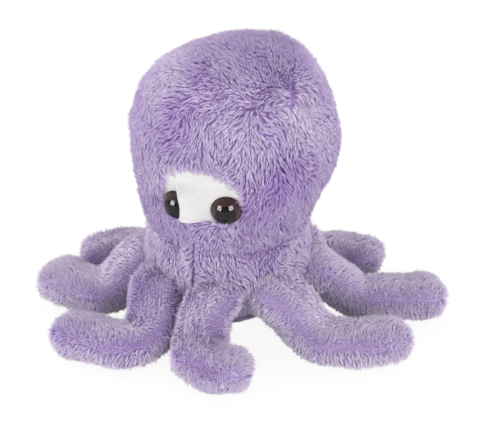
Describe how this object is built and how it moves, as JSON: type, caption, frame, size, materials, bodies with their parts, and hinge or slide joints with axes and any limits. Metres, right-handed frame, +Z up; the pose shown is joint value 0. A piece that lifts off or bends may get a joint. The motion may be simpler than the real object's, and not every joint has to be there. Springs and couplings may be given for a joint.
{
  "type": "plush octopus",
  "caption": "Lilac plush octopus with a tall round stuffed head, white face patch, domed button eyes and curled stuffed arms that lift at their root seams.",
  "frame": {"origin": "on the floor under the middle of the body's flat base", "axes": "+Z up from the base to the crown, -Y the way the face looks, +X to the right for someone who looks at the face"},
  "size_m": [0.1754, 0.1545, 0.1257],
  "materials": {
    "body_left_panel": "lilac short-pile plush with darker and paler patches",
    "body_right_panel": "lilac short-pile plush with darker and paler patches",
    "base_panel": "pale lilac short-pile plush",
    "body_stuffing": "soft white polyester wadding",
    "face_panel": "lilac short-pile plush with darker and paler patches",
    "nape_panel": "lilac short-pile plush with darker and paler patches",
    "crown_left_panel": "lilac short-pile plush with darker and paler patches",
    "crown_right_panel": "lilac short-pile plush with darker and paler patches",
    "face_patch": "short white velour",
    "head_stuffing": "soft white polyester wadding",
    "left_eye_iris": "glossy dark brown",
    "left_eye_pupil": "glossy black",
    "left_eye_washer": "natural nylon",
    "right_eye_iris": "glossy dark brown",
    "right_eye_pupil": "glossy black",
    "right_eye_washer": "natural nylon",
    "arm_front_upper": "lilac short-pile plush with darker and paler patches",
    "arm_front_lower": "pale lilac short-pile plush",
    "arm_front_stuffing": "soft white polyester wadding",
    "arm_front_left_upper": "lilac short-pile plush with darker and paler patches",
    "arm_front_left_lower": "pale lilac short-pile plush",
    "arm_front_left_stuffing": "soft white polyester wadding",
    "arm_left_upper": "lilac short-pile plush with darker and paler patches",
    "arm_left_lower": "pale lilac short-pile plush",
    "arm_left_stuffing": "soft white polyester wadding",
    "arm_back_left_upper": "lilac short-pile plush with darker and paler patches",
    "arm_back_left_lower": "pale lilac short-pile plush",
    "arm_back_left_stuffing": "soft white polyester wadding",
    "arm_back_upper": "lilac short-pile plush with darker and paler patches",
    "arm_back_lower": "pale lilac short-pile plush",
    "arm_back_stuffing": "soft white polyester wadding",
    "arm_back_right_upper": "lilac short-pile plush with darker and paler patches",
    "arm_back_right_lower": "pale lilac short-pile plush",
    "arm_back_right_stuffing": "soft white polyester wadding",
    "arm_right_upper": "lilac short-pile plush with darker and paler patches",
    "arm_right_lower": "pale lilac short-pile plush",
    "arm_right_stuffing": "soft white polyester wadding",
    "arm_front_right_upper": "lilac short-pile plush with darker and paler patches",
    "arm_front_right_lower": "pale lilac short-pile plush",
    "arm_front_right_stuffing": "soft white polyester wadding"
  },
  "bodies": {
    "body": {"body_left_panel": "body_left_panel", "body_right_panel": "body_right_panel", "base_panel": "base_panel", "body_stuffing": "body_stuffing", "face_panel": "face_panel", "nape_panel": "nape_panel", "crown_left_panel": "crown_left_panel", "crown_right_panel": "crown_right_panel", "face_patch": "face_patch", "head_stuffing": "head_stuffing", "left_eye_iris": "left_eye_iris", "left_eye_pupil": "left_eye_pupil", "left_eye_washer": "left_eye_washer", "right_eye_iris": "right_eye_iris", "right_eye_pupil": "right_eye_pupil", "right_eye_washer": "right_eye_washer"},
    "arm_front": {"arm_front_upper": "arm_front_upper", "arm_front_lower": "arm_front_lower", "arm_front_stuffing": "arm_front_stuffing"},
    "arm_front_left": {"arm_front_left_upper": "arm_front_left_upper", "arm_front_left_lower": "arm_front_left_lower", "arm_front_left_stuffing": "arm_front_left_stuffing"},
    "arm_left": {"arm_left_upper": "arm_left_upper", "arm_left_lower": "arm_left_lower", "arm_left_stuffing": "arm_left_stuffing"},
    "arm_back_left": {"arm_back_left_upper": "arm_back_left_upper", "arm_back_left_lower": "arm_back_left_lower", "arm_back_left_stuffing": "arm_back_left_stuffing"},
    "arm_back": {"arm_back_upper": "arm_back_upper", "arm_back_lower": "arm_back_lower", "arm_back_stuffing": "arm_back_stuffing"},
    "arm_back_right": {"arm_back_right_upper": "arm_back_right_upper", "arm_back_right_lower": "arm_back_right_lower", "arm_back_right_stuffing": "arm_back_right_stuffing"},
    "arm_right": {"arm_right_upper": "arm_right_upper", "arm_right_lower": "arm_right_lower", "arm_right_stuffing": "arm_right_stuffing"},
    "arm_front_right": {"arm_front_right_upper": "arm_front_right_upper", "arm_front_right_lower": "arm_front_right_lower", "arm_front_right_stuffing": "arm_front_right_stuffing"}
  },
  "joints": [
    {"name": "arm_front_lift", "type": "hinge", "parent": "body", "child": "arm_front", "pos_m": [0.0046, -0.03494, 0.03447], "axis": [-0.9914, -0.1305, 0], "range_deg": [0, 55]},
    {"name": "arm_front_left_lift", "type": "hinge", "parent": "body", "child": "arm_front_left", "pos_m": [-0.02146, -0.02796, 0.03447], "axis": [-0.7934, 0.6088, 0], "range_deg": [0, 55]},
    {"name": "arm_left_lift", "type": "hinge", "parent": "body", "child": "arm_left", "pos_m": [-0.03494, -0.0046, 0.03447], "axis": [-0.1305, 0.9914, 0], "range_deg": [0, 55]},
    {"name": "arm_back_left_lift", "type": "hinge", "parent": "body", "child": "arm_back_left", "pos_m": [-0.02796, 0.02146, 0.03447], "axis": [0.6088, 0.7934, 0], "range_deg": [0, 55]},
    {"name": "arm_back_lift", "type": "hinge", "parent": "body", "child": "arm_back", "pos_m": [-0.0046, 0.03494, 0.03447], "axis": [0.9914, 0.1305, 0], "range_deg": [0, 55]},
    {"name": "arm_back_right_lift", "type": "hinge", "parent": "body", "child": "arm_back_right", "pos_m": [0.02146, 0.02796, 0.03447], "axis": [0.7934, -0.6088, 0], "range_deg": [0, 55]},
    {"name": "arm_right_lift", "type": "hinge", "parent": "body", "child": "arm_right", "pos_m": [0.03494, 0.0046, 0.03447], "axis": [0.1305, -0.9914, 0], "range_deg": [0, 55]},
    {"name": "arm_front_right_lift", "type": "hinge", "parent": "body", "child": "arm_front_right", "pos_m": [0.02796, -0.02146, 0.03447], "axis": [-0.6088, -0.7934, 0], "range_deg": [0, 55]}
  ]
}
